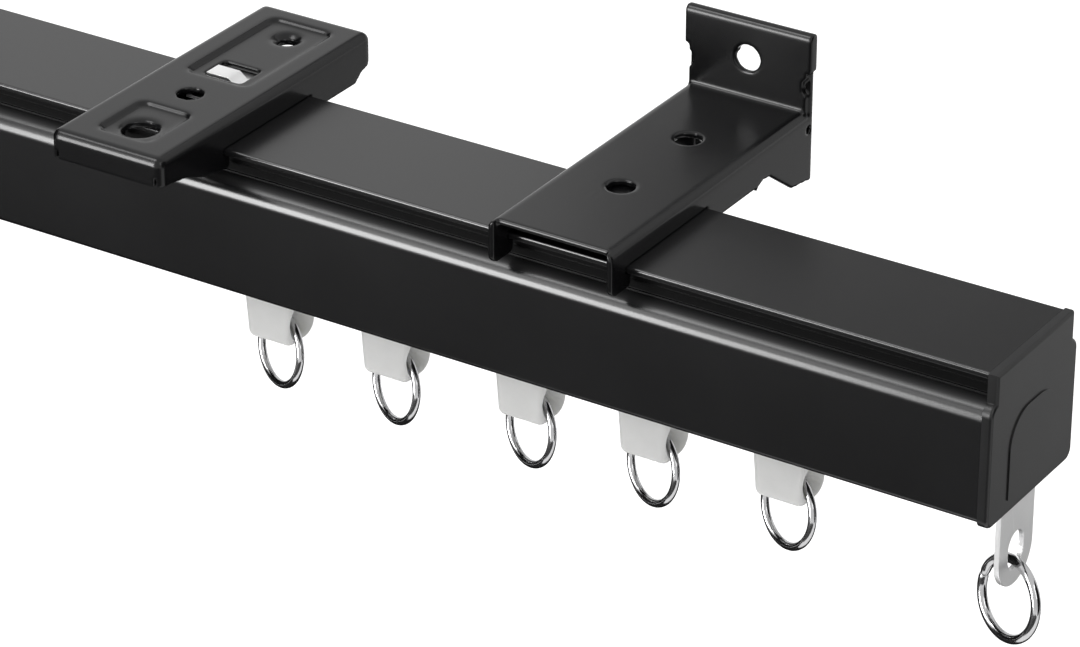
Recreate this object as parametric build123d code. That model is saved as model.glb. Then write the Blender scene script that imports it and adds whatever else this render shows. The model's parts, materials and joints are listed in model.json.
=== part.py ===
from build123d import *
import math
import os

# Curtain track: a T-headed aluminium extrusion with runner channel, carried by a pressed ceiling
# bracket and a folded wall bracket, with roller gliders, hanging rings, moulded end caps and an end plate.
# Sizes are in millimetres. X runs along the track, Y from the room to the wall, Z up. The origin lies on
# the ceiling bracket's top face, which lies against the ceiling, above the middle of the track's head.

# Track extrusion
track_length = 300.0
track_right_end = 205.0
head_width = 33.0
lip_thickness = 1.6
neck_width = 26.4
neck_height = 7.0
body_width = 37.0
track_height = 34.5
track_wall = 1.5
shoulder_radius = 3.0
bottom_radius = 1.5
bead_height = 0.9
bead_depth = 0.4
slot_width = 8.0
web_thickness = 1.4

# End caps
cap_thickness = 2.4
cap_proud = 0.4
cap_bottom_proud = 1.0
cap_edge_radius = 0.8
cap_bottom_radius = 2.6
arch_width = 20.8
arch_drop = 12.6
arch_radius = 8.0
arch_height = 0.3
plug_length = 9.0
plug_wall = 1.6
plug_clearance = 0.12

# Sheet metal of both brackets
sheet = 1.5
bend_radius = 2.0
jaw_reach = 1.9
jaw_drop = 3.4
jaw_clearance = 0.2

# Ceiling bracket
ceiling_rise = 6.5
ceiling_width = 30.2
ceiling_front_y = -39.7
ceiling_rear_y = 40.9
front_flange_drop = 0.3
front_flange_steps = ((0.0, 0.0), (2.5, 0.0), (9.3, 1.0), (15.8, 3.6))
rear_flange_drop = 4.2
rear_flange_steps = ((6.7, 3.9), (4.2, 1.9), (1.8, 1.3), (0.5, 0.3), (0.0, -1.4))
corner_slit = 0.7
panel_depth = 1.0
boss_margin = 0.5
panel_taper = 30
panel_corner = 2.5
front_panel_size = (14.5, 17.0)
front_panel_y = -25.0
rear_panel_size = (17.2, 34.5)
rear_panel_y = 18.3
slot_hole_size = (10.2, 8.2)
slot_hole_y = 7.7
slot_hole_corner = 1.0
screw_hole_diameter = 6.2
screw_hole_y = -8.4
large_hole_diameter = 8.2
large_hole_y = -26.8
large_hole_dish = 0.6
rear_hole_diameter = 4.3
rear_hole_y = 28.8
rear_hole_dish = 1.2
dish_flare = 1.3

# Wall bracket
wall_bracket_x = 103.8
wall_rise = 5.3
wall_bracket_width = 31.0
wall_front_y = -21.2
wall_nose = 1.4
nose_steps = ((0.0, 3.6), (0.8, 4.8), (2.0, 5.2))
wall_face_y = 61.9
wall_plate_width = 32.4
wall_plate_top = 24.0
hem_gap = 0.2
wall_shoulder_rise = 9.5
wall_flange_drop = 17.4
wall_flange_steps = ((37.0, 4.3), (37.9, 5.2), (38.4, 4.3), (40.6, 3.5), (43.4, 3.8), (53.5, 11.0), (57.0, 11.4))
wall_notch_radius = 2.6
wall_tab_inset = 5.0
relief_radius = 0.9
wall_hole_diameter = 6.4
wall_hole_height = 14.8
top_hole_diameter = 6.2
top_hole_places = (6.1, 34.0)

# Sliding latch that grips the head's rear lip in each bracket
latch_sheet = 0.8
latch_width = 9.0
latch_height = 3.6
latch_travel = 2.2
latch_front_y = -4.0
latch_running_clearance = 0.1
rivet_diameter = 2.2
rivet_head_diameter = 4.4
rivet_head_height = 0.6
rivet_place = (-3.0, 0.0)
tongue_width = 4.6
tongue_front_y = 4.0
tongue_rise = 2.2
tongue_length = 9.2

# Gliders
glider_places = (18.1, 49.9, 85.9, 117.6, 151.6)
wheel_diameter = 9.6
wheel_width = 3.4
wheel_hub_wall = 1.0
wheel_rim_wall = 1.1
wheel_web_recess = 0.7
wheel_crown = 0.5
wheel_lift = 0.02
wheel_headroom = 2.0
axle_diameter = 2.4
axle_running_clearance = 0.05
carriage_width = 7.0
carriage_length = 9.0
carriage_inset = 1.2
carriage_corner = 1.0
boss_wall = 1.1
boss_running_gap = 0.1
wheel_gap = 0.4
keel_length = 10.4
keel_width = 10.4
keel_reach = 18.5
keel_gap = 2.0
keel_top_radius = 1.6
keel_draft = 1.3
keel_side_radius = 2.0
keel_front_radius = 1.8
keel_rear_radius = 4.2
cheek_reach = 1.9
cheek_thickness = 1.9
eye_height = 5.4
eye_clearance = 0.28
eye_margin = 0.2
eyelet_clearance = 0.65

# Rings
glider_ring_radius = 8.45
glider_ring_wire = 1.9
end_ring_radius = 8.8
end_ring_wire = 2.2
end_ring_shift = 0.6
ring_turn = -24.0
ring_lean = 8.0
ring_split = 0.5
glider_ring_split_angle = 163.0
end_ring_split_angle = 168.0

# End plate and end stop
plate_thickness = 1.2
plate_width = 15.2
plate_reach = 23.2
plate_neck_clearance = 0.3
plate_head_width = 13.0
plate_head_height = 6.0
eyelet_width = 7.0
eyelet_height = 9.0
eyelet_margin = 3.7
stop_length = 9.0
stop_width = 13.0
stop_height = 8.0
stop_screw_diameter = 4.0
stop_screw_socket = 2.0

# Places that follow from the sizes
track_top = -ceiling_rise
track_bottom = track_top - track_height
track_left_end = track_right_end - track_length
floor_top = track_bottom + track_wall
channel_top = floor_top + wheel_diameter + wheel_headroom
web_top = channel_top + web_thickness
inner_width = body_width - 2 * track_wall

eyelet_bottom_z = track_bottom - plate_reach + eyelet_margin
eyelet_middle_z = eyelet_bottom_z + eyelet_height / 2

parts_folder = "parts"


def save(shape, name):
    """Writes one piece to its own file and gives it back."""
    export_step(shape, os.path.join(parts_folder, name + ".step"))
    return shape


def panel(width, low, high, middle=0.0):
    """A rectangle in a section drawn across the track, from one height to another."""
    return Pos(middle, (low + high) / 2) * Rectangle(width, high - low)


def rounded_corners(shape, radius, top):
    """Rounds the two top or the two bottom corners of a flat shape."""
    corners = shape.vertices().sort_by(Axis.Y)
    chosen = corners[-2:] if top else corners[:2]
    return fillet(chosen, radius)


def along_x(section, start, length):
    """Extrudes a section drawn across the track from x = start."""
    return Pos(start, 0, 0) * extrude(Plane.YZ * section, amount=length)


def side_prism(points, low_x, high_x):
    """A solid whose side outline, in Y and Z, is given by its corners."""
    face = make_face(Polyline(*points, close=True))
    return along_x(face, low_x, high_x - low_x)


# Track: one extrusion with a T head, a closed upper chamber and an open runner channel
def track_profile():
    lip = panel(head_width, track_top - lip_thickness, track_top)
    neck = panel(neck_width, track_top - neck_height - track_wall, track_top)
    bead_low = track_top - neck_height + bead_height / 2
    bead = panel(neck_width + 2 * bead_depth, bead_low, bead_low + bead_height)
    shell = panel(body_width, track_bottom, track_top - neck_height)
    shell = rounded_corners(shell, shoulder_radius, top=True)
    shell = rounded_corners(shell, bottom_radius, top=False)
    neck_hollow = panel(neck_width - 2 * track_wall, web_top, track_top - lip_thickness)
    chamber = panel(inner_width, web_top, track_top - neck_height - track_wall)
    chamber = rounded_corners(chamber, shoulder_radius - track_wall, top=True)
    channel = panel(inner_width, floor_top, channel_top)
    slot = panel(slot_width, track_bottom - track_wall, channel_top)
    section = lip + neck + bead + shell - neck_hollow - chamber - channel - slot
    return along_x(section, track_left_end, track_length)


# End cap: a flange a little proud of the extrusion, a raised arch on its face and hollow plugs inside
def end_cap():
    """The cap of the right end, with its flange against the cut face at x = 0."""
    head = panel(head_width + 2 * cap_proud, track_top - neck_height - track_wall, track_top)
    shell = panel(body_width + 2 * cap_proud, track_bottom - cap_bottom_proud, track_top - neck_height + cap_proud)
    shell = rounded_corners(shell, shoulder_radius - cap_proud, top=True)
    shell = rounded_corners(shell, cap_bottom_radius, top=False)
    flange = along_x(head + shell, 0, cap_thickness)
    outer_face = flange.faces().sort_by(Axis.X)[-1]
    flange = fillet(outer_face.edges(), cap_edge_radius)

    arch_low = track_bottom + cap_bottom_radius
    arch = panel(arch_width, arch_low, track_top - arch_drop)
    arch = rounded_corners(arch, arch_radius, top=True)
    arch = along_x(arch, cap_thickness - arch_height, 2 * arch_height)

    upper = panel(inner_width - 2 * plug_clearance, web_top + plug_clearance,
                  track_top - neck_height - track_wall - plug_clearance)
    upper = rounded_corners(upper, shoulder_radius - track_wall, top=True)
    upper_hollow = offset(upper, -plug_wall)
    upper_plug = along_x(upper - upper_hollow, -plug_length, plug_length)

    lug_middle = inner_width / 2 - plug_clearance - plug_wall / 2
    lugs = Sketch()
    for side in (-1, 1):
        lugs += panel(plug_wall, floor_top + plug_clearance, channel_top - plug_clearance, side * lug_middle)
    lower_plug = along_x(lugs, -plug_length, plug_length)
    return flange + arch + upper_plug + lower_plug


# Sheet-metal helpers shared by the two brackets
def channel_section(width, top, bottom):
    """An inverted U of bent sheet, drawn across Y."""
    outer = panel(width, bottom, top)
    outer = rounded_corners(outer, bend_radius, top=True)
    inner = panel(width - 2 * sheet, bottom - sheet, top - sheet)
    inner = rounded_corners(inner, bend_radius - sheet, top=True)
    return outer - inner


def jaw_outline(side):
    """Lower edge of a flange round the head's lip: seat, notch and hook, from the middle outwards."""
    lip_edge = head_width / 2 + jaw_clearance
    hook_tip = head_width / 2 - jaw_reach
    under_lip = track_top - lip_thickness - jaw_clearance
    hook_low = under_lip - jaw_drop
    return [(side * lip_edge, track_top), (side * lip_edge, under_lip), (side * hook_tip, under_lip),
            (side * hook_tip, hook_low + 0.8), (side * (hook_tip + 0.8), hook_low)]


def rivet_hole():
    """The hole that a bracket's latch rivet fills."""
    return Pos(*rivet_place, track_top) * Cylinder(rivet_diameter / 2 + 0.01, 4 * ceiling_rise)


# Ceiling bracket: a shallow pressed tray with two recessed panels, four holes and a latch slot
def recessed_panel(size, y_middle):
    """Cutter for the recess in the top face and the boss that it leaves below, drawn as tapered panels."""
    outline = fillet(Rectangle(*size).vertices(), panel_corner)
    recess = extrude(outline, amount=-panel_depth, taper=panel_taper)
    boss = extrude(offset(outline, boss_margin), amount=-panel_depth, taper=panel_taper)
    return Pos(0, y_middle, 0) * recess, Pos(0, y_middle, -sheet) * boss


def dished_hole(tray, radius, dish, y_place):
    """Presses a dish into a panel's floor, as for a countersunk screw, and pierces it."""
    mouth = Pos(0, y_place, -panel_depth)
    hole = Cylinder(radius, 6 * sheet)
    funnel = Cone(radius, radius + dish_flare * dish, dish, align=(Align.CENTER, Align.CENTER, Align.MAX))
    back = Cone(radius + sheet, radius + sheet + dish_flare * dish, dish, align=(Align.CENTER, Align.CENTER, Align.MAX))
    tray += Pos(0, 0, -sheet) * mouth * back
    return tray - mouth * funnel - mouth * hole


def ceiling_bracket():
    length = ceiling_rear_y - ceiling_front_y
    middle = (ceiling_rear_y + ceiling_front_y) / 2
    end_low = track_top - front_flange_drop
    deep = track_top - lip_thickness - jaw_clearance - jaw_drop - sheet
    tray = Box(ceiling_width, length, -deep, align=(Align.CENTER, Align.CENTER, Align.MAX))
    tray = fillet(tray.edges().filter_by(Axis.Z), bend_radius)
    tray = fillet(tray.faces().sort_by(Axis.Z)[-1].edges(), bend_radius)
    hollow = Box(ceiling_width - 2 * sheet, length - 2 * sheet, -deep,
                 align=(Align.CENTER, Align.CENTER, Align.MAX))
    hollow = fillet(hollow.edges().filter_by(Axis.Z), bend_radius - sheet)
    hollow = fillet(hollow.faces().sort_by(Axis.Z)[-1].edges(), bend_radius - sheet)
    tray = Pos(0, middle, 0) * (tray - Pos(0, 0, -sheet) * hollow)

    rear_edge = head_width / 2 + jaw_clearance
    outline = [(ceiling_front_y, 0)]
    outline += [(ceiling_front_y + inward, end_low - drop) for inward, drop in front_flange_steps]
    outline += jaw_outline(-1)[::-1]
    outline += [(rear_edge, track_top), (rear_edge, track_top - rear_flange_drop)]
    outline += [(ceiling_rear_y - inward, end_low - drop) for inward, drop in rear_flange_steps]
    outline += [(ceiling_rear_y, 0)]
    tray &= side_prism(outline, -ceiling_width, ceiling_width)

    for x_side in (-1, 1):
        for y_side in (-1, 1):
            slit = Box(corner_slit, 3 * sheet, ceiling_rise)
            corner_y = middle + y_side * length / 2
            tray -= Pos(x_side * (ceiling_width / 2 - sheet - jaw_clearance), corner_y, track_top - sheet) * slit

    for size, y_middle in ((front_panel_size, front_panel_y), (rear_panel_size, rear_panel_y)):
        recess, boss = recessed_panel(size, y_middle)
        tray += boss
        tray -= recess

    latch_slot = fillet(Rectangle(*slot_hole_size).vertices(), slot_hole_corner)
    tray -= Pos(0, slot_hole_y, 0) * extrude(latch_slot, amount=-3 * sheet)
    tray -= Pos(0, screw_hole_y, 0) * Cylinder(screw_hole_diameter / 2, 4 * sheet)
    tray = dished_hole(tray, large_hole_diameter / 2, large_hole_dish, large_hole_y)
    tray = dished_hole(tray, rear_hole_diameter / 2, rear_hole_dish, rear_hole_y)
    tray -= rivet_hole()
    return tray


# Wall bracket: a folded arm whose end turns up into a hemmed wall plate, with the flange ends behind it
def wall_bracket():
    top = track_top + wall_rise
    low = top - wall_flange_drop
    rear_edge = head_width / 2 + jaw_clearance
    plate_front = wall_face_y - 2 * sheet

    nose_y = wall_front_y - wall_nose
    arm_section = channel_section(wall_bracket_width, top, low)
    arm = extrude(Plane.XZ * arm_section, amount=-(wall_face_y - nose_y))
    arm = Pos(0, nose_y, 0) * arm
    arm -= Pos(0, nose_y, top) * Box(wall_bracket_width - 2 * sheet, 2 * wall_nose, 4 * sheet)
    outline = [(nose_y, top)] + [(nose_y + inward, track_top - drop) for inward, drop in nose_steps]
    outline += jaw_outline(-1)[::-1]
    outline += [(rear_edge, track_top), (rear_edge, track_top - wall_flange_steps[0][1])]
    outline += [(y_place, track_top - drop) for y_place, drop in wall_flange_steps]
    outline += [(wall_face_y, low), (wall_face_y, top)]
    arm &= side_prism(outline, -wall_bracket_width, wall_bracket_width)

    shoulder = top + wall_shoulder_rise
    plate_top = track_top + wall_plate_top
    plate = panel(wall_plate_width, shoulder, plate_top)
    plate += panel(wall_bracket_width - 0.8, top - sheet, shoulder)
    for side in (-1, 1):
        notch = Circle(wall_notch_radius)
        plate -= Pos(side * (wall_bracket_width / 2 + sheet - 0.4), shoulder - wall_notch_radius - 1.0) * notch
    front_layer = Pos(0, plate_front, 0) * extrude(Plane.XZ * plate, amount=-sheet)
    hem = panel(wall_plate_width, shoulder + hem_gap, plate_top)
    hem = Pos(0, plate_front + sheet, 0) * extrude(Plane.XZ * hem, amount=-sheet)
    upright = front_layer + hem
    upright = fillet(upright.faces().sort_by(Axis.Z)[-1].edges().filter_by(Axis.X), 0.9 * sheet)

    tabs = Part()
    for side in (-1, 1):
        tab_middle = side * (wall_bracket_width / 4 + wall_tab_inset / 2)
        tab = panel(wall_bracket_width / 2 - wall_tab_inset, low, shoulder - hem_gap, tab_middle)
        tabs += Pos(0, plate_front + sheet, 0) * extrude(Plane.XZ * tab, amount=-sheet)

    bracket = arm + upright + tabs
    for y_place in top_hole_places:
        bracket -= Pos(0, y_place, top) * Cylinder(top_hole_diameter / 2, 4 * sheet)
    wall_hole = Cylinder(wall_hole_diameter / 2, 8 * sheet, rotation=(90, 0, 0))
    bracket -= Pos(0, wall_face_y, track_top + wall_hole_height) * wall_hole
    relief = Cylinder(relief_radius, 2 * wall_bracket_width, rotation=(0, 90, 0))
    bracket -= Pos(0, wall_face_y - 2 * relief_radius, track_top + 0.7) * relief
    bracket -= rivet_hole()
    return Pos(wall_bracket_x, 0, 0) * bracket


# Latch: a strip of spring steel that slides on its rivet and hooks under the head's rear lip
def latch(with_tongue):
    """The latch of one bracket at x = 0, with or without the tongue that stands up in the bracket's slot."""
    under_lip = track_top - lip_thickness - jaw_clearance
    strip_top = track_top + latch_height
    strip_low = strip_top - latch_sheet
    hook_tip = head_width / 2 - jaw_reach
    leg_y = head_width / 2 + latch_travel
    points = [(latch_front_y, strip_top), (leg_y + latch_sheet, strip_top), (leg_y + latch_sheet, under_lip - latch_sheet),
              (hook_tip, under_lip - latch_sheet), (hook_tip, under_lip), (leg_y, under_lip), (leg_y, strip_low),
              (latch_front_y, strip_low)]
    face = make_face(Polyline(*points, close=True))
    bends = face.vertices().filter_by(lambda corner: corner.X > leg_y - 0.1)
    outer_bends = bends.filter_by(lambda corner: corner.X > leg_y + 0.1)
    face = fillet(outer_bends, latch_sheet + 0.3)
    inner_bends = face.vertices().filter_by(lambda corner: abs(corner.X - leg_y) < 0.01)
    face = fillet(inner_bends, 0.3)
    strip = along_x(face, -latch_width / 2, latch_width)
    guide = SlotCenterToCenter(latch_travel + 0.4, rivet_diameter + 2 * latch_running_clearance, rotation=90)
    guide = Pos(rivet_place[0], rivet_place[1] - latch_travel / 2) * guide
    strip -= Pos(0, 0, strip_low - latch_sheet) * extrude(guide, amount=4 * latch_sheet)
    if with_tongue:
        strip += tongue(strip_top)
    return strip


def tongue(foot):
    """The finger grip: a flat top above the strip that bends down again towards +X."""
    top = foot + tongue_rise
    low = top - latch_sheet
    start = -tongue_length / 2
    tip = tongue_length / 2
    points = [(start, foot - 0.2), (start, top), (1.4, top), (3.3, foot + 0.7), (tip, foot + 0.9), (tip, foot + 0.2),
              (3.1, foot - 0.2), (1.0, low), (start + latch_sheet, low), (start + latch_sheet, foot - 0.2)]
    face = make_face(Polyline(*points, close=True))
    return Pos(0, tongue_front_y, 0) * extrude(Plane.XZ * face, amount=-tongue_width)


def latch_rivet(rise):
    """The rivet that a latch slides on: flush with the bracket's top face, with its head under the strip."""
    head_top = track_top + latch_height - latch_sheet - latch_running_clearance
    shank = Cylinder(rivet_diameter / 2, track_top + rise - head_top, align=(Align.CENTER, Align.CENTER, Align.MIN))
    head = Cylinder(rivet_head_diameter / 2, rivet_head_height, align=(Align.CENTER, Align.CENTER, Align.MAX))
    head = chamfer(head.edges().sort_by(Axis.Z)[:1], rivet_head_height / 3)
    return Pos(*rivet_place, head_top) * (shank + head)


# Glider: a nylon carriage on one wheelset, with a stem through the slot and a keel that carries the ring
axle_z = floor_top + wheel_diameter / 2 + wheel_lift
keel_bottom = track_bottom - keel_reach
keel_top = track_bottom - keel_gap
eye_z = keel_bottom + eye_height
wheel_inner_y = carriage_width / 2 + wheel_gap


def eye_radius(x):
    """Radius of the eye at a distance from its waist, which clears the turned ring at every swing."""
    turn = math.radians(abs(ring_turn))
    along = x / math.cos(turn)
    fall = math.asin(along / glider_ring_radius)
    drop = glider_ring_radius * (1 - math.cos(fall))
    aside = x * math.tan(turn) + drop * math.sin(math.radians(ring_lean))
    wire_half_height = glider_ring_wire / 2 / (math.cos(fall) * math.cos(turn))
    return math.hypot(drop, aside) + wire_half_height + eye_clearance


def eye():
    """The ring's eye: a double funnel along X, narrowest in its middle."""
    half = keel_length / 2 + keel_draft + eye_margin
    right = ThreePointArc((0, eye_radius(0)), (half / 2, eye_radius(half / 2)), (half, eye_radius(half)))
    left = ThreePointArc((-half, eye_radius(half)), (-half / 2, eye_radius(half / 2)), (0, eye_radius(0)))
    base = Polyline((half, eye_radius(half)), (half, 0), (-half, 0), (-half, eye_radius(half)))
    face = make_face([left, right, base])
    return Pos(0, 0, eye_z) * revolve(Plane.XZ * face, Axis.X)


def glider_body():
    """One moulded glider at x = 0."""
    carriage_top = axle_z + wheel_diameter / 2 - carriage_inset
    block = panel(carriage_width, keel_top - carriage_corner, carriage_top)
    block = rounded_corners(block, carriage_inset, top=True)
    carriage = along_x(block, -carriage_length / 2, carriage_length)
    carriage = fillet(carriage.edges().filter_by(Axis.Z), carriage_corner)
    boss_length = carriage_width + 2 * (wheel_gap - boss_running_gap)
    bosses = Cylinder(axle_diameter / 2 + boss_wall, boss_length, rotation=(90, 0, 0))

    section = panel(keel_width, keel_bottom, keel_top)
    section = rounded_corners(section, keel_top_radius, top=True)
    front_corner = section.vertices().sort_by(Axis.Y)[:2].sort_by(Axis.X)[:1]
    section = fillet(front_corner, keel_front_radius)
    rear_corner = section.vertices().sort_by(Axis.Y)[:3].sort_by(Axis.X)[-1:]
    section = fillet(rear_corner, keel_rear_radius)
    half = keel_length / 2
    wide = half + keel_draft
    keel = along_x(section, -wide - cheek_reach, 2 * wide + cheek_reach)
    sides = [(-wide - cheek_reach, keel_top), (wide, keel_top), (half, keel_bottom), (-half - cheek_reach, keel_bottom)]
    sides = make_face(Polyline(*sides, close=True))
    keel &= extrude(Plane.XZ * sides, amount=keel_width, both=True)
    uprights = keel.edges().filter_by(lambda edge: abs(edge.tangent_at(0.5).Z) > 0.9)
    keel = fillet(uprights, keel_side_radius)
    cheek_y = -keel_width / 2 + cheek_thickness
    behind_cheek = Box(2 * cheek_reach, keel_width, 2 * keel_reach, align=(Align.MAX, Align.MIN, Align.CENTER))
    cheek = Box(2 * keel_length, keel_width, 2 * keel_reach, align=(Align.MAX, Align.MAX, Align.CENTER))
    keel -= Pos(-wide, cheek_y, keel_bottom) * behind_cheek
    keel -= eye() - Pos(0, cheek_y, keel_bottom) * cheek

    body = carriage + Pos(0, 0, axle_z) * bosses + keel
    bore = Cylinder(axle_diameter / 2 + axle_running_clearance, 2 * carriage_width, rotation=(90, 0, 0))
    return body - Pos(0, 0, axle_z) * bore


def axle():
    length = 2 * (wheel_inner_y + wheel_width)
    pin = Cylinder(axle_diameter / 2, length, rotation=(90, 0, 0))
    pin = chamfer(pin.edges().filter_by(GeomType.CIRCLE), 0.3)
    return Pos(0, 0, axle_z) * pin


def wheel(side):
    """A wheel with a crowned tread, a recessed web and a hub, on one side of the carriage."""
    radius = wheel_diameter / 2
    shoulder = radius - wheel_crown
    bore = axle_diameter / 2
    hub = bore + wheel_hub_wall
    rim = radius - wheel_rim_wall
    slope = 0.2
    web = wheel_web_recess
    edge = Polyline((0, bore), (0, hub), (web, hub + slope), (web, rim - slope), (0, rim), (0, shoulder))
    tread = ThreePointArc((0, shoulder), (wheel_width / 2, radius), (wheel_width, shoulder))
    back = Polyline((wheel_width, shoulder), (wheel_width, rim), (wheel_width - web, rim - slope),
                    (wheel_width - web, hub + slope), (wheel_width, hub), (wheel_width, bore), (0, bore))
    disc = revolve(Plane.XZ * make_face([edge, tread, back]), Axis.X)
    turned = Rot(0, 0, 90 * side) * Pos(wheel_inner_y, 0, 0) * disc
    return Pos(0, 0, axle_z) * turned


# Rings: split rings of round wire, hanging from an eye with their plane a little turned and leaning
def hanging_ring(mean_radius, wire, split_angle):
    """A ring whose wire passes through the origin, with its gap at an angle from the +X side."""
    gap = math.degrees(ring_split / mean_radius)
    wire_section = Pos(mean_radius, 0) * Circle(wire / 2)
    ring = revolve(Plane.XY * wire_section, Axis.Y, 360 - gap)
    ring = Rot(0, gap / 2 - split_angle, 0) * ring
    return Rot(0, 0, ring_turn) * Rot(-ring_lean, 0, 0) * Pos(0, 0, -mean_radius) * ring


# End plate: a flat steel hanger whose T head stands on the channel's ledges, behind the right end cap
def end_plate():
    head = panel(plate_head_width, floor_top, floor_top + plate_head_height)
    head = rounded_corners(head, 1.0, top=True)
    neck = panel(slot_width - 2 * plate_neck_clearance, track_bottom - 1.0, floor_top)
    body = panel(plate_width, track_bottom - plate_reach, track_bottom - plate_neck_clearance)
    body = rounded_corners(body, plate_width / 2 - 0.01, top=False)
    eyelet = Pos(0, eyelet_middle_z) * SlotOverall(eyelet_height, eyelet_width, rotation=90)
    blank = head + neck + body - eyelet
    return along_x(blank, track_right_end - plate_thickness, plate_thickness)


def end_stop_block():
    """The block behind the end plate, which holds it and stops the gliders."""
    start = track_right_end - plate_thickness - stop_length
    body = Pos(start + stop_length / 2, 0, floor_top) * Box(
        stop_length, stop_width, stop_height, align=(Align.CENTER, Align.CENTER, Align.MIN))
    body = fillet(body.edges().filter_by(Axis.Z), 1.0)
    body += Pos(start + stop_length / 2, 0, floor_top - track_wall / 2) * Box(
        stop_length - 1.0, slot_width - 2 * plate_neck_clearance, track_wall)
    bore = Cylinder(stop_screw_diameter / 2 + 0.01, 4 * stop_height)
    return body - Pos(start + stop_length / 2, 0, floor_top) * bore


def end_stop_screw():
    """The grub screw that jams the block between the ledges and the channel's roof."""
    low = track_bottom + 0.5
    length = channel_top - low
    screw = Cylinder(stop_screw_diameter / 2, length, align=(Align.CENTER, Align.CENTER, Align.MIN))
    socket = extrude(RegularPolygon(stop_screw_socket / 2, 6, major_radius=False), amount=stop_screw_diameter / 2)
    middle = track_right_end - plate_thickness - stop_length / 2
    return Pos(middle, 0, low) * (screw - socket)


def build():
    """Writes every piece of the curtain track."""
    save(track_profile(), "track_profile")
    cap = end_cap()
    save(Pos(track_right_end, 0, 0) * cap, "end_cap_right")
    save(Pos(track_left_end, 0, 0) * mirror(cap, Plane.YZ), "end_cap_left")

    save(ceiling_bracket(), "ceiling_bracket")
    save(latch(with_tongue=True), "ceiling_latch")
    save(latch_rivet(ceiling_rise), "ceiling_latch_rivet")
    save(wall_bracket(), "wall_bracket")
    save(Pos(wall_bracket_x, 0, 0) * latch(with_tongue=False), "wall_latch")
    save(Pos(wall_bracket_x, 0, 0) * latch_rivet(wall_rise), "wall_latch_rivet")

    ring = hanging_ring(glider_ring_radius, glider_ring_wire, glider_ring_split_angle)
    for number, x in enumerate(glider_places, start=1):
        place = Pos(x, 0, 0)
        save(place * glider_body(), f"glider_{number}_body")
        save(place * axle(), f"glider_{number}_axle")
        save(place * wheel(-1), f"glider_{number}_front_wheel")
        save(place * wheel(1), f"glider_{number}_rear_wheel")
        save(Pos(x, 0, eye_z) * ring, f"glider_{number}_ring")

    save(end_plate(), "end_plate")
    save(end_stop_block(), "end_stop_block")
    save(end_stop_screw(), "end_stop_screw")
    end_ring = hanging_ring(end_ring_radius, end_ring_wire, end_ring_split_angle)
    end_ring_z = eyelet_bottom_z + end_ring_wire / 2 + eyelet_clearance
    end_ring_x = track_right_end - plate_thickness / 2 + end_ring_shift
    save(Pos(end_ring_x, 0, end_ring_z) * end_ring, "end_ring")


os.makedirs("parts", exist_ok=True)
build()
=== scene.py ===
import json
import math

import bmesh
import bpy
from mathutils import Matrix, Vector

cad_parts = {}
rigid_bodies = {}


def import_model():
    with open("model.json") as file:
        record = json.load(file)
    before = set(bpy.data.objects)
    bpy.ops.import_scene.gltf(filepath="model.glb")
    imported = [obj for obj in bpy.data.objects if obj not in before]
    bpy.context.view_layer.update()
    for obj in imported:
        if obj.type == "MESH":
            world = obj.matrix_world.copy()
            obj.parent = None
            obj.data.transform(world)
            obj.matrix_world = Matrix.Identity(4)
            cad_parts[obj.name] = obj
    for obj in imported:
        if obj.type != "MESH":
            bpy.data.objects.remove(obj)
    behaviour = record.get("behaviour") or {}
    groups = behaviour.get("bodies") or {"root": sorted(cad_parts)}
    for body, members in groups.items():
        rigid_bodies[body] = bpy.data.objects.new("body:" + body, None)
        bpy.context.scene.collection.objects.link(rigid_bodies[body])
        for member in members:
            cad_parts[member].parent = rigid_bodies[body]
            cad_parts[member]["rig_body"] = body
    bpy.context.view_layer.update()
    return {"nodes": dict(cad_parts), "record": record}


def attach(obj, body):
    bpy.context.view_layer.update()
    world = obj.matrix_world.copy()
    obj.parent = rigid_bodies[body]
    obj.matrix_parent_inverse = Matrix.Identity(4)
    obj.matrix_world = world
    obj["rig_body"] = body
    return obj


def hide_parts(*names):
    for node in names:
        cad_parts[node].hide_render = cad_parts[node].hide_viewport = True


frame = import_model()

# Curtain track with two brackets, five ringed gliders and a ringed end plate, in the frame of the solids:
# X along the track, Y from the room to the wall, Z up.

# Camera: a long lens above and in front of the right end, level, turned to look along the track.
degrees_down = 28.08
degrees_round = 32.71
camera = bpy.data.objects.new("camera", bpy.data.cameras.new("camera"))
camera.data.sensor_width = 36
camera.data.lens = 156.88
camera.data.clip_end = 20
camera.location = (0.57741, -0.76345, 0.44744)
camera.rotation_euler = (math.radians(90 - degrees_down), 0, math.radians(degrees_round))
bpy.context.scene.collection.objects.link(camera)
bpy.context.scene.camera = camera


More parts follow.
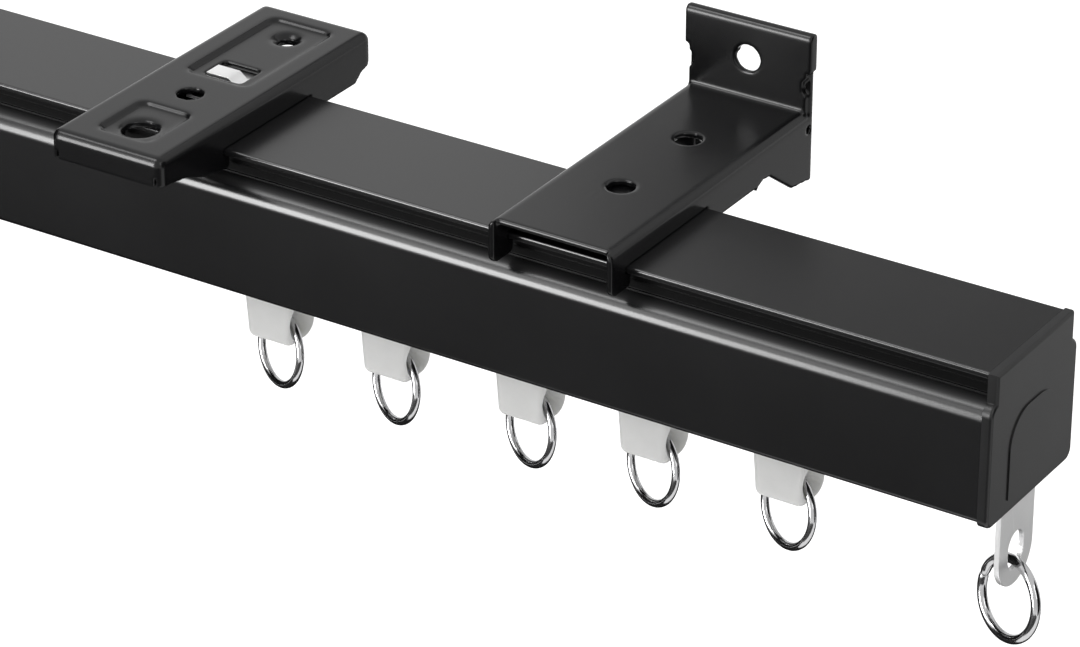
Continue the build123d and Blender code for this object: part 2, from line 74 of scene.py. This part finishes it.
# Studio: a white room with soft lamps above, at the right and in front, one of which only draws the line along
# the track's shoulder. Cards that only mirrors show set the tone of the black coats and edge the bright wire.
class Value:
    """An output socket of a material. Sums of values, written as in Python, add their Math nodes."""

    def __init__(self, tree, socket):
        self.tree = tree
        self.socket = socket

    def node(self, kind, settings=None, output=0, **sockets):
        """Adds any other node: its settings first, then the values or links of its sockets."""
        made = self.tree.nodes.new(kind)
        for name, setting in (settings or {}).items():
            setattr(made, name, setting)
        for name, given in sockets.items():
            key = int(name[1:]) if name[1:].isdigit() else name.replace("_", " ")
            if isinstance(given, Value):
                self.tree.links.new(given.socket, made.inputs[key])
            else:
                made.inputs[key].default_value = given
        return Value(self.tree, made.outputs[output])

    def maths(self, operation, first, second=0.0):
        return self.node("ShaderNodeMath", {"operation": operation}, s0=first, s1=second)

    def __add__(self, other):
        return self.maths("ADD", self, other)

    def __radd__(self, other):
        return self.maths("ADD", other, self)

    def __sub__(self, other):
        return self.maths("SUBTRACT", self, other)

    def __rsub__(self, other):
        return self.maths("SUBTRACT", other, self)

    def __mul__(self, other):
        return self.maths("MULTIPLY", self, other)

    def __rmul__(self, other):
        return self.maths("MULTIPLY", other, self)

    def __abs__(self):
        return self.maths("ABSOLUTE", self)

    def between(self, low, high):
        """0 below low, 1 above high, and a smooth rise between."""
        return self.node("ShaderNodeMapRange", {"interpolation_type": "SMOOTHSTEP"}, Value=self,
                         From_Min=low, From_Max=high)


def feed(shader, **sockets):
    """Links values to a shader's sockets."""
    for name, value in sockets.items():
        value.tree.links.new(value.socket, shader.inputs[name.replace("_", " ")])


def tone_between(value, factor, dark, light):
    """A colour that runs from one tone to another."""
    return value.node("ShaderNodeMix", {"data_type": "RGBA"}, output=2,
                      s0=factor, s6=(*dark, 1), s7=(*light, 1))


def seen_by(tree, *rays):
    """1 for rays of the kinds named, 0 for the light that falls on the object."""
    path = tree.nodes.new("ShaderNodeLightPath")
    seen = Value(tree, path.outputs[rays[0]])
    for ray in rays[1:]:
        seen = seen.maths("MAXIMUM", seen, Value(tree, path.outputs[ray]))
    return seen


def stage_plane(name, size, place, turn, tone):
    """A flat grey card of the studio, which isn't part of the object, and its shader."""
    bpy.ops.mesh.primitive_plane_add(size=1, location=place, rotation=[math.radians(a) for a in turn])
    card = bpy.context.object
    card.name = name
    card.scale = (*size, 1)
    paint = bpy.data.materials.new(name)
    paint.use_nodes = True
    shader = paint.node_tree.nodes["Principled BSDF"]
    shader.inputs["Base Color"].default_value = (tone, tone, tone, 1)
    shader.inputs["Roughness"].default_value = 0.9
    shader.inputs["Specular IOR Level"].default_value = 0.1
    card.data.materials.append(paint)
    return card, shader


def soft_lamp(name, size, watts, place):
    """A rectangular lamp aimed at the middle of the track."""
    light = bpy.data.lights.new(name, "AREA")
    light.shape = "RECTANGLE"
    light.size, light.size_y = size
    light.energy = watts
    lamp = bpy.data.objects.new(name, light)
    lamp.location = place
    lamp.rotation_euler = (Vector((0.05, 0, 0)) - Vector(place)).to_track_quat("-Z", "Y").to_euler()
    bpy.context.scene.collection.objects.link(lamp)
    return lamp


floor_glow = (0.55, 0.55, 0.55)
floor, floor_shader = stage_plane("studio_floor", (12, 12), (0, 0, -0.36), (0, 0, 0), 0.9)
seen = seen_by(floor_shader.id_data, "Is Camera Ray", "Is Glossy Ray")
floor_shader.inputs["Emission Strength"].default_value = 1
feed(floor_shader, Emission_Color=tone_between(seen, seen, (0, 0, 0), floor_glow))

soft_lamp("top_lamp", (0.8, 0.6), 11, (-0.75, -0.6, 1.5))
soft_lamp("side_lamp", (0.9, 0.9), 5, (1.5, -0.5, 0.9))
soft_lamp("front_lamp", (0.6, 1.1), 7, (-0.95, -1.55, 0.85))
line_lamp = soft_lamp("line_lamp", (0.6, 0.9), 32, (-0.95, -1.7, 0.09))
line_lamp.visible_diffuse = False

cards = (("front_floor_card", (2.2, 0.9), (-0.2, -0.75, -0.355), (0, 0, 0), 0.08),
         ("side_floor_card", (0.5, 0.9), (0.62, 0.6, -0.355), (0, 0, 0), 0.75),
         ("rear_card", (0.7, 0.6), (0.05, 0.75, 0.47), (60, 0, 30), 0.3),
         ("right_floor_flag", (0.26, 1.2), (0.088, 0.736, -0.354), (0, 0, 27), 0.02),
         ("left_floor_flag", (0.55, 1.2), (-0.683, 0.183, -0.354), (0, 0, 38.5), 0.02),
         ("near_floor_flag", (0.9, 0.4), (0.015, 0.11, -0.353), (0, 0, 32.8), 0.02),
         ("left_flag", (1.0, 1.2), (-0.8, -0.12, 0.15), (0, 90, 0), 0.02),
         ("right_flag", (1.0, 1.2), (0.95, 0.3, 0.15), (0, 90, 0), 0.02))
for row in cards:
    card, _ = stage_plane(*row)
    card.visible_camera = False
    card.visible_diffuse = False
    card.visible_shadow = False

room_level = 0.55
white = 1.0
world = bpy.data.worlds.new("studio")
world.use_nodes = True
bpy.context.scene.world = world
sky = world.node_tree.nodes["Background"]
sky.inputs["Color"].default_value = (1, 1, 1, 1)
seen = seen_by(world.node_tree, "Is Camera Ray", "Is Glossy Ray", "Is Transmission Ray")
feed(sky, Strength=room_level + (white - room_level) * seen)

bpy.context.scene.view_settings.view_transform = "Standard"


# The track: one aluminium extrusion, powder coated satin black. A flat T head that the brackets grip, a neck
# with a fine bead, and a box below it whose lower half is the runner channel, open in a slot underneath.
mm = 0.001
track_left_end = -95.0
track_right_end = 205.0
track_top = -6.5
track_bottom = track_top - 34.5
neck_foot = track_top - 7.0
lip_bottom = track_top - 1.6
head_reach = 16.5
neck_reach = 13.2
bead_reach = 13.4
foot_reach = 13.6
body_reach = 18.5
inside_reach = 17.0
slot_reach = 4.0
chamber_neck_reach = 11.7
channel_floor = track_bottom + 1.5
channel_top = track_top - 21.4
chamber_bottom = track_top - 20.0
chamber_shoulder = neck_foot - 1.5
shoulder_radius = 3.9
lip_edge_radius = 0.6


def new_finish(name, metallic=0.0, specular=0.5):
    """A material, its main shader and the place on the piece, in metres."""
    finish = bpy.data.materials.new(name)
    finish.use_nodes = True
    tree = finish.node_tree
    shader = tree.nodes["Principled BSDF"]
    shader.inputs["Metallic"].default_value = metallic
    shader.inputs["Specular IOR Level"].default_value = specular
    place = Value(tree, tree.nodes.new("ShaderNodeTexCoord").outputs["Object"])
    return finish, shader, place


def grain(place, scale, detail=3.0, stretch=(1, 1, 1)):
    """Noise of so many cells a metre, which may be drawn out along an axis."""
    drawn = place.node("ShaderNodeMapping", Vector=place, Scale=stretch)
    return place.node("ShaderNodeTexNoise", Vector=drawn, Scale=scale, Detail=detail, Roughness=0.55)


def worn_edges(place):
    """1 on the mesh's outer edges, 0 on flats."""
    return place.node("ShaderNodeNewGeometry", output="Pointiness").between(0.53, 0.62)


def bumps(place, height, depth, strength):
    """A normal from a height of 0 to 1 that stands for a depth in metres."""
    return place.node("ShaderNodeBump", Height=height, Distance=depth, Strength=strength)


def on_ledge(place):
    """1 on the ledge at the foot of the neck, where the powder lands dry, and 0 past the shoulder."""
    across = place.node("ShaderNodeSeparateXYZ", output="Y", Vector=place)
    up = place.node("ShaderNodeSeparateXYZ", output="Z", Vector=place)
    near_neck = 1 - abs(across).between((body_reach - 2.7) * mm, (body_reach - 0.9) * mm)
    return near_neck * (1 - up.between((neck_foot + 1) * mm, (neck_foot + 2) * mm))


def powder_coat(name, dark, light, matt, specular=0.5, dry=0.0):
    """Satin powder coat: a fine orange peel, slow changes of sheen, and edges where the coat is thin."""
    finish, shader, place = new_finish(name, specular=specular)
    peel = grain(place, 900, detail=1.5)
    drift = grain(place, 22, detail=4)
    speck = grain(place, 5200, detail=1)
    edge = worn_edges(place)
    dullness = matt - 0.04 + 0.07 * drift + 0.04 * speck
    if dry:
        dullness = dullness + dry * on_ledge(place)
    feed(shader,
         Base_Color=tone_between(place, 0.5 * drift + 0.25 * speck + 0.35 * edge, dark, light),
         Roughness=dullness,
         Normal=bumps(place, peel, 0.012 * mm, 0.5))
    return finish


def rounded_outline(corners):
    """Points round a closed outline whose corners, (across, up, radius), are rounded."""
    steps = 6
    points = []
    for k, (across, up, radius) in enumerate(corners):
        corner = Vector((across, up))
        before = (Vector(corners[k - 1][:2]) - corner).normalized()
        after = (Vector(corners[(k + 1) % len(corners)][:2]) - corner).normalized()
        half = before.angle(after) / 2
        middle = corner + (before + after).normalized() * (radius / math.sin(half))
        start = corner + before * (radius / math.tan(half)) - middle
        end = corner + after * (radius / math.tan(half)) - middle
        sweep = start.angle_signed(end)
        for step in range(steps + 1):
            points.append(middle + Matrix.Rotation(-sweep * step / steps, 2) @ start)
    return points


def mirrored(corners):
    """The same corners on the other side of the track, in the opposite order."""
    return [(-across, up, radius) for across, up, radius in reversed(corners)]


def finished_piece(name, mesh, angle=35):
    """Joins a mesh's seams, smooths it up to an angle and makes it a piece."""
    work = bmesh.new()
    work.from_mesh(mesh)
    bmesh.ops.remove_doubles(work, verts=work.verts, dist=0.001 * mm)
    bmesh.ops.recalc_face_normals(work, faces=work.faces)
    work.to_mesh(mesh)
    work.free()
    mesh.name = name
    mesh.shade_smooth()
    mesh.set_sharp_from_angle(angle=math.radians(angle))
    piece = bpy.data.objects.new(name, mesh)
    bpy.context.scene.collection.objects.link(piece)
    flat_faces_lead = piece.modifiers.new("flat faces lead", "WEIGHTED_NORMAL")
    flat_faces_lead.keep_sharp = True
    return piece


def extruded(name, outlines, start, end):
    """A solid with closed outlines in Y and Z, the inner ones as holes, extruded along X."""
    drawing = bpy.data.curves.new(name, "CURVE")
    drawing.dimensions = "2D"
    drawing.fill_mode = "BOTH"
    drawing.extrude = (end - start) / 2 * mm
    for outline in outlines:
        spline = drawing.splines.new("POLY")
        spline.points.add(len(outline) - 1)
        spline.use_cyclic_u = True
        for point, (across, up) in zip(spline.points, outline):
            point.co = (across * mm, up * mm, 0, 1)
    sheet = bpy.data.objects.new(name, drawing)
    bpy.context.scene.collection.objects.link(sheet)
    bpy.context.view_layer.update()
    mesh = bpy.data.meshes.new_from_object(sheet)
    bpy.data.objects.remove(sheet)
    mesh.transform(Matrix(((0, 0, 1, (start + end) / 2 * mm), (1, 0, 0, 0), (0, 1, 0, 0), (0, 0, 0, 1))))
    return finished_piece(name, mesh)


def dress(piece, finish, slot_name, body, *nodes):
    """Gives a new piece its finish and body, and hides the solids that it stands for."""
    piece.data.materials.clear()
    piece.data.materials.append(finish)
    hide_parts(*nodes)
    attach(piece, body)


track_black = powder_coat("track_black", (0.002, 0.002, 0.0022), (0.008, 0.008, 0.0085), 0.22, dry=0.35)
# Painted shade: the neck under the head's lip gets a darker coat with little gloss, standing in for the shade
# the lip casts there.
neck_painted_shade = powder_coat("neck_painted_shade", (0.001, 0.001, 0.0011), (0.004, 0.004, 0.0042), 0.34, specular=0.1)
outside = [(body_reach, track_bottom, 1.5),
           (body_reach, neck_foot, shoulder_radius),
           (foot_reach, neck_foot, 0.15),
           (foot_reach, neck_foot + 0.45, 0.15),
           (neck_reach, neck_foot + 0.45, 0.1),
           (neck_reach, neck_foot + 2.2, 0.06),
           (bead_reach, neck_foot + 2.2, 0.06),
           (bead_reach, neck_foot + 2.7, 0.06),
           (neck_reach, neck_foot + 2.7, 0.06),
           (neck_reach, lip_bottom, 0.4),
           (head_reach, lip_bottom, 0.35),
           (head_reach, track_top, lip_edge_radius)]
channel = [(inside_reach, channel_top, 0.5),
           (inside_reach, channel_floor, 0.5),
           (slot_reach, channel_floor, 0.3),
           (slot_reach, track_bottom, 0.3)]
chamber = [(inside_reach, chamber_bottom, 0.5),
           (inside_reach, chamber_shoulder, 1.5),
           (chamber_neck_reach, chamber_shoulder, 0.4),
           (chamber_neck_reach, lip_bottom, 0.4)]
section = [rounded_outline(outside + mirrored(outside) + mirrored(channel) + channel),
           rounded_outline(chamber + mirrored(chamber))]
track = extruded("track_extrusion", section, track_left_end, track_right_end)
dress(track, track_black, "track_paint", "track", "track_profile")
# The neck's faces under the lip take the darker coat of painted shade.
track.data.materials.append(neck_painted_shade)
for face in track.data.polygons:
    _, across, up = face.center / mm
    if neck_reach - 0.1 < abs(across) < head_reach - 0.2 and neck_foot + 0.01 < up < track_top - 0.8:
        face.material_index = 1


# The end caps: moulded in black plastic, pressed into the extrusion by their plugs, with a fine grain.
def moulded(name, dark, light, matt):
    """Moulded plastic: a spark-eroded grain and slow changes of sheen."""
    finish, shader, place = new_finish(name, specular=0.42)
    drift = grain(place, 60)
    spark = grain(place, 2600, detail=2)
    edge = worn_edges(place)
    feed(shader,
         Base_Color=tone_between(place, 0.6 * drift + 0.4 * edge, dark, light),
         Roughness=matt + 0.08 * drift,
         Normal=bumps(place, spark, 0.015 * mm, 0.6))
    return finish


def softened(node, finish, width):
    """A copy of a solid whose sharp edges are rounded, in place of the solid."""
    solid = frame["nodes"][node]
    work = bmesh.new()
    work.from_mesh(solid.data)
    bmesh.ops.remove_doubles(work, verts=work.verts, dist=0.002 * mm)
    bmesh.ops.dissolve_limit(work, angle_limit=math.radians(0.6), verts=work.verts, edges=work.edges)
    sharp = [edge for edge in work.edges if edge.is_manifold and edge.calc_face_angle() > math.radians(40)]
    bmesh.ops.bevel(work, geom=sharp, offset=width * mm, segments=3, profile=0.5, affect="EDGES",
                    clamp_overlap=True, harden_normals=False)
    mesh = bpy.data.meshes.new(node + "_soft")
    work.to_mesh(mesh)
    work.free()
    slot_name = next(s["material_slot"] for s in frame["record"]["subparts"] if s["node"] == node)
    dress(finished_piece(node + "_soft", mesh), finish, slot_name, solid["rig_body"], node)


cap_black = moulded("cap_black", (0.003, 0.003, 0.0032), (0.009, 0.009, 0.0095), 0.3)
for end in ("right", "left"):
    softened("end_cap_" + end, cap_black, 0.1)


# The ceiling bracket: pressed from one sheet of steel, coated satin black, with dished screw holes in two
# recessed panels, and a slot for the tongue of its latch.
def pressed(node, rivet, cell, rounds):
    """A fine even mesh of a sheet-metal solid and its flush rivet, smoothed so that each edge is rounded."""
    solids = bmesh.new()
    for name in (node, rivet):
        solids.from_mesh(frame["nodes"][name].data)
    mesh = bpy.data.meshes.new(node)
    solids.to_mesh(mesh)
    solids.free()
    rough = bpy.data.objects.new(node, mesh)
    bpy.context.scene.collection.objects.link(rough)
    even = rough.modifiers.new("even", "REMESH")
    even.mode = "VOXEL"
    even.voxel_size = cell * mm
    smooth = rough.modifiers.new("smooth", "SMOOTH")
    smooth.factor = 0.5
    smooth.iterations = rounds
    mesh = bpy.data.meshes.new_from_object(rough.evaluated_get(bpy.context.evaluated_depsgraph_get()))
    bpy.data.objects.remove(rough)
    return mesh


def sheet_piece(node, rivet, mesh, finish):
    """Puts a mesh of pressed sheet in place of its solid and its rivet."""
    mesh.name = node + "_sheet"
    mesh.shade_smooth()
    piece = bpy.data.objects.new(mesh.name, mesh)
    bpy.context.scene.collection.objects.link(piece)
    dress(piece, finish, "bracket_paint", frame["nodes"][node]["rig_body"], node, rivet)


bracket_black = powder_coat("bracket_black", (0.002, 0.002, 0.0023), (0.008, 0.008, 0.0085), 0.22, specular=0.3)
dished_front, plain_hole, latch_slot, dished_rear = (-26.8, 4.4), (-8.4, 3.4), (7.7, 6.6), (28.8, 2.45)
openings = (dished_front, plain_hole, latch_slot, dished_rear)
flat_half_width, flat_front, flat_rear = 12.2, -36.5, 38.0
tray = bmesh.new()
tray.from_mesh(pressed("ceiling_bracket", "ceiling_latch_rivet", 0.32, 5))
panel_slopes = []
for vert in tray.verts:
    along, across, _ = vert.co / mm
    if abs(along) < flat_half_width and flat_front < across < flat_rear and abs(vert.normal.z) > 0.5:
        if all(math.hypot(along, across - middle) > reach for middle, reach in openings):
            panel_slopes.append(vert)
for _ in range(22):
    bmesh.ops.smooth_vert(tray, verts=panel_slopes, factor=0.5, use_axis_z=True)
tray_mesh = bpy.data.meshes.new("ceiling_bracket_sheet")
tray.to_mesh(tray_mesh)
tray.free()
sheet_piece("ceiling_bracket", "ceiling_latch_rivet", tray_mesh, bracket_black)


# The wall bracket: one folded sheet of the same steel, whose arm turns up into a hemmed wall plate.
arm_mesh = pressed("wall_bracket", "wall_latch_rivet", 0.36, 5)
sheet_piece("wall_bracket", "wall_latch_rivet", arm_mesh, bracket_black)


# The latches: spring steel strips that slide on a rivet and hook under the head's rear lip. The ceiling
# bracket's is left bright with its tongue standing in the slot, the wall bracket's is coated black.
def bright_steel(name, dark, light, matt, along):
    """Rolled and plated steel: fine brush lines along one axis, cloudy plating, brighter edges."""
    finish, shader, place = new_finish(name, metallic=1.0)
    stretch = [0.06 if axis == along else 1.0 for axis in "XYZ"]
    brush = grain(place, 4200, stretch=stretch)
    cloud = grain(place, 160, detail=4)
    edge = worn_edges(place)
    feed(shader,
         Base_Color=tone_between(place, 0.55 * cloud + 0.3 * brush + 0.3 * edge, dark, light),
         Roughness=matt + 0.12 * cloud + 0.05 * brush,
         Normal=bumps(place, brush, 0.006 * mm, 0.5))
    return finish


zinc = bright_steel("zinc", (0.78, 0.78, 0.78), (0.92, 0.92, 0.92), 0.3, "Y")
softened("ceiling_latch", zinc, 0.12)
softened("wall_latch", bracket_black, 0.12)


# The gliders: moulded in natural nylon, milky and a little see-through. The carriage rolls on one wheelset
# inside the channel, and the keel below the slot carries a ring in its eye.
nylon_white, shader, place = new_finish("nylon_white", specular=0.45)
shader.inputs["Subsurface Weight"].default_value = 0.6
shader.inputs["Subsurface Radius"].default_value = (1.0, 1.0, 0.95)
shader.inputs["Subsurface Scale"].default_value = 2.2 * mm
cloud = grain(place, 210, detail=4)
skin = grain(place, 1500, detail=2)
feed(shader,
     Base_Color=tone_between(place, cloud, (0.75, 0.75, 0.74), (0.84, 0.84, 0.83)),
     Roughness=0.42 + 0.12 * cloud,
     Normal=bumps(place, skin, 0.02 * mm, 0.5))

for number in range(1, 6):
    glider = f"glider_{number}"
    softened(glider + "_body", nylon_white, 0.35)
    softened(glider + "_front_wheel", nylon_white, 0.15)
    softened(glider + "_rear_wheel", nylon_white, 0.15)
    softened(glider + "_axle", zinc, 0.08)


# The rings: split rings of round steel wire, bent to a circle, nickel plated and bright. Each hangs from an eye
# with its plane a little turned and leaning.
ring_turn = -24
ring_lean = -8
ring_split = 0.5
glider_ring_radius = 8.45
glider_ring_wire = 1.9
end_ring_radius = 8.8
end_ring_wire = 2.2
glider_places = (18.1, 49.9, 85.9, 117.6, 151.6)
keel_bottom = track_bottom - 18.5
glider_eye = keel_bottom + 5.4
plate_bottom = track_bottom - 23.2
eyelet_bottom = plate_bottom + 3.7
eyelet_clearance = 0.65


def ring_piece(name, middle, radius, wire, split_angle):
    """One split ring, whose top is in the eye's middle."""
    turns, sides = 96, 20
    gap = math.degrees(ring_split / radius)
    work = bmesh.new()
    loops = []
    for step in range(turns + 1):
        at = math.radians(split_angle + gap / 2 + (360 - gap) * step / turns)
        outward = Vector((math.cos(at), 0, math.sin(at)))
        thickness = wire / 2 * (0.9 if step in (0, turns) else 1.0)
        loop = []
        for side in range(sides):
            round_wire = 2 * math.pi * side / sides
            out = radius + thickness * math.cos(round_wire)
            loop.append(work.verts.new(outward * out + Vector((0, thickness * math.sin(round_wire), 0))))
        loops.append(loop)
    for first, second in zip(loops, loops[1:]):
        for side in range(sides):
            beside = (side + 1) % sides
            work.faces.new((first[side], first[beside], second[beside], second[side]))
    work.faces.new(loops[0][::-1])
    work.faces.new(loops[-1])
    mesh = bpy.data.meshes.new(name)
    work.to_mesh(mesh)
    work.free()
    hang = Matrix.Rotation(math.radians(ring_turn), 4, "Z") @ Matrix.Rotation(math.radians(ring_lean), 4, "X")
    from_top = Matrix.Translation((0, 0, -radius))
    mesh.transform(Matrix.Scale(mm, 4) @ Matrix.Translation(middle) @ hang @ from_top)
    return finished_piece(name, mesh, angle=50)


nickel = bright_steel("nickel", (0.38, 0.38, 0.39), (0.6, 0.6, 0.6), 0.03, "Z")
for number, x in enumerate(glider_places, start=1):
    eye = (x, 0, glider_eye)
    ring = ring_piece(f"glider_{number}_split_ring", eye, glider_ring_radius, glider_ring_wire, 163)
    dress(ring, nickel, "ring_steel", f"glider_{number}_hanging_ring", f"glider_{number}_ring")
end_ring_top = eyelet_bottom + end_ring_wire / 2 + eyelet_clearance
ring = ring_piece("end_split_ring", (track_right_end, 0, end_ring_top), end_ring_radius, end_ring_wire, 168)
dress(ring, nickel, "ring_steel", "end_hanging_ring", "end_ring")


# The end plate: blanked from zinc-plated steel strip, with its head inside the channel and a slotted eyelet
# for the last ring. The block and screw behind it hold it and stop the gliders.
plate_zinc = bright_steel("plate_zinc", (0.8, 0.8, 0.8), (0.94, 0.94, 0.94), 0.34, "Z")
softened("end_plate", plate_zinc, 0.12)
softened("end_stop_block", zinc, 0.2)
softened("end_stop_screw", zinc, 0.1)
